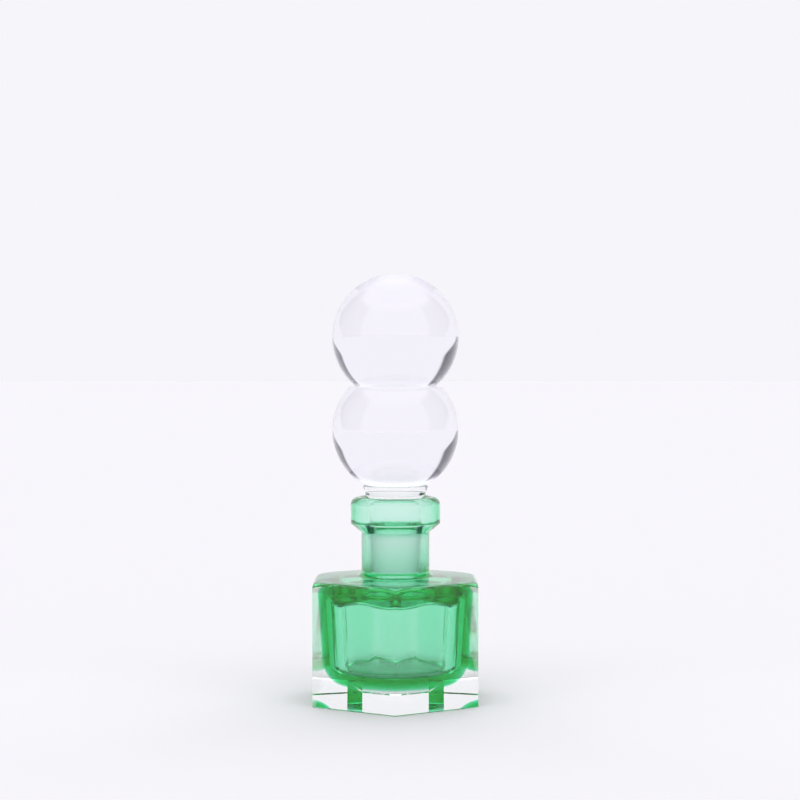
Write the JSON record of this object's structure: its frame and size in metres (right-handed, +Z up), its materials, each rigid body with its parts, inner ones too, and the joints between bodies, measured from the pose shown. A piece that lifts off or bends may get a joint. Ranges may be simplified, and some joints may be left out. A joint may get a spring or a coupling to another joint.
{
  "type": "stoppered perfume bottle",
  "caption": "Cased glass perfume bottle: a hollow green core in a clear six-sided block, with a collared neck and a ground stopper topped by stacked crystal balls.",
  "frame": {"origin": "middle of the six-sided base's underside, on the axis of the neck", "axes": "+Z up along the axis of the neck, the stopper and the balls; X square to two of the block's six faces; Y through the edges at its front and back"},
  "size_m": [0.064, 0.074, 0.1681],
  "materials": {
    "clear_glass": "ground and polished",
    "green_glass": "polished, green right through",
    "ground_glass": "ground matt on the taper, polished above it",
    "crystal": "polished",
    "bond": "clear set adhesive"
  },
  "bodies": {
    "bottle": {"clear_casing": "clear_glass", "green_core": "green_glass"},
    "stopper": {"stopper_shank": "ground_glass", "shank_bond": "bond", "lower_ball": "crystal", "ball_bond": "bond", "upper_ball": "crystal"}
  },
  "joints": [
    {"name": "stopper_lift", "type": "slide", "parent": "bottle", "child": "stopper", "axis": [0, 0, 1], "range_m": [0, 0.045]}
  ]
}
